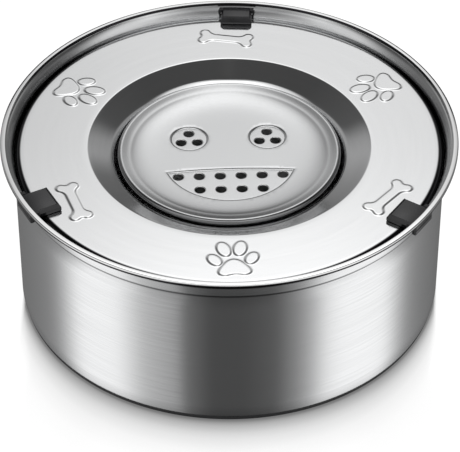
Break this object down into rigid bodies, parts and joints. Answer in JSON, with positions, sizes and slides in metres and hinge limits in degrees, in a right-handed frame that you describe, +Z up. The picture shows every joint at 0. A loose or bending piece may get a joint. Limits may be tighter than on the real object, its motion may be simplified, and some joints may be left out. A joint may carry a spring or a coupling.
{
  "type": "no-spill pet water bowl",
  "caption": "Round steel pet water bowl with a rolled rim, a splash ring held by sliding latches and a hollow float disc with drain holes, so that water cannot slop out",
  "frame": {"origin": "centre of the foot ring's underside, on the floor", "axes": "+Z up; -Y is the front that faces the camera, +X to its right; one latch stands at the back, on +Y"},
  "size_m": [0.25, 0.2534, 0.1032],
  "materials": {
    "brushed_steel": "brushed around the bowl",
    "polished_steel": "polished",
    "satin_steel": "satin",
    "foot_rubber": "matte",
    "seal_silicone": "matte",
    "liner_plastic": "fine matte",
    "latch_plastic": "gloss"
  },
  "bodies": {
    "bowl": {"bowl_body": "brushed_steel", "foot_ring": "foot_rubber", "splash_ring": "polished_steel", "latch_liner_back": "liner_plastic", "latch_liner_left": "liner_plastic", "latch_liner_right": "liner_plastic"},
    "float": {"float_top_plate": "satin_steel", "float_bottom_pan": "satin_steel", "float_seal": "seal_silicone"},
    "latch_back": {"latch_slide_back": "latch_plastic", "latch_grip_back": "latch_plastic"},
    "latch_left": {"latch_slide_left": "latch_plastic", "latch_grip_left": "latch_plastic"},
    "latch_right": {"latch_slide_right": "latch_plastic", "latch_grip_right": "latch_plastic"}
  },
  "joints": [
    {"name": "float_rise", "type": "slide", "parent": "bowl", "child": "float", "axis": [0, 0, 1], "range_m": [-0.067, 0.036]},
    {"name": "latch_back_slide", "type": "slide", "parent": "bowl", "child": "latch_back", "axis": [0, 1, 0], "range_m": [-0.005, 0.0085]},
    {"name": "latch_left_slide", "type": "slide", "parent": "bowl", "child": "latch_left", "axis": [-0.866, -0.5, 0], "range_m": [0, 0.0135]},
    {"name": "latch_right_slide", "type": "slide", "parent": "bowl", "child": "latch_right", "axis": [0.8517, -0.524, 0], "range_m": [0, 0.0135]}
  ]
}
